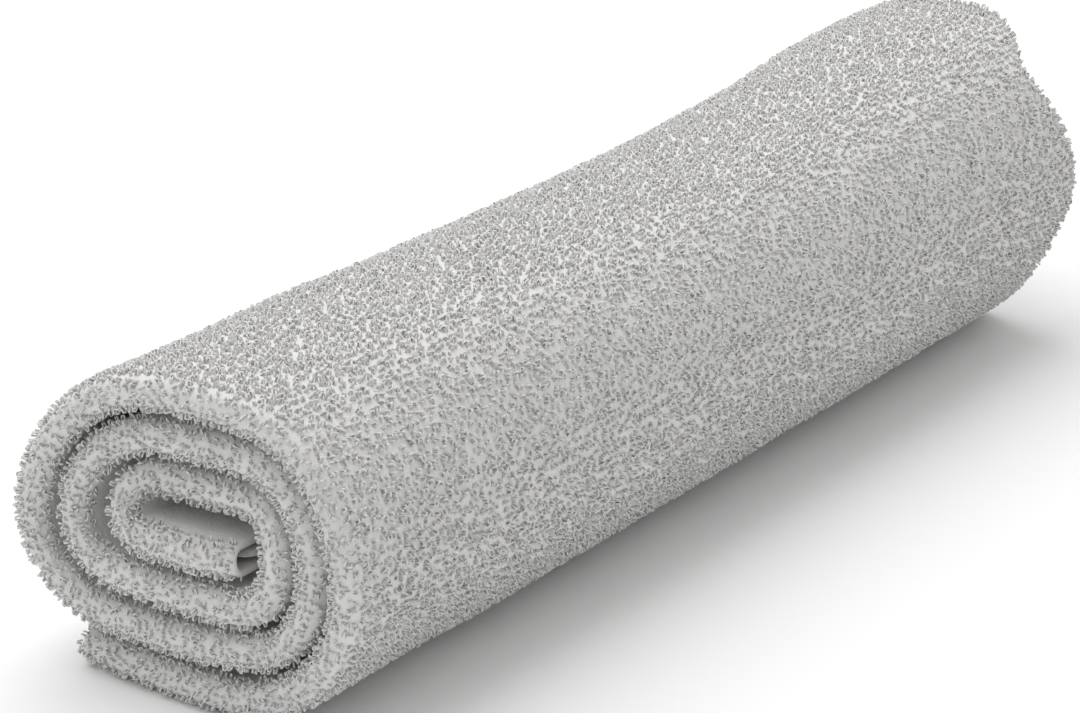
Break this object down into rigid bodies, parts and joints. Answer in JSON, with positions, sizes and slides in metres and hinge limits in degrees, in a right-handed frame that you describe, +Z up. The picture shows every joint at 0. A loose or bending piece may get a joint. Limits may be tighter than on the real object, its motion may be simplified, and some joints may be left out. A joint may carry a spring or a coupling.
{
  "type": "rolled bath towel",
  "caption": "Terry bath towel folded in thirds and rolled into a soft bolster that lies on its side, with its loose end tucked underneath.",
  "frame": {"origin": "centre of the bounding box of the roll, on the plane that it rests on", "axes": "+X along the roll from the end with the showing spiral to the other end, +Z up, +Y to the side where the loose end comes out underneath"},
  "size_m": [0.471, 0.1358, 0.1129],
  "materials": {
    "white_terry": "looped cotton pile, matt"
  },
  "bodies": {
    "root": {"towel": "white_terry"}
  },
  "joints": []
}
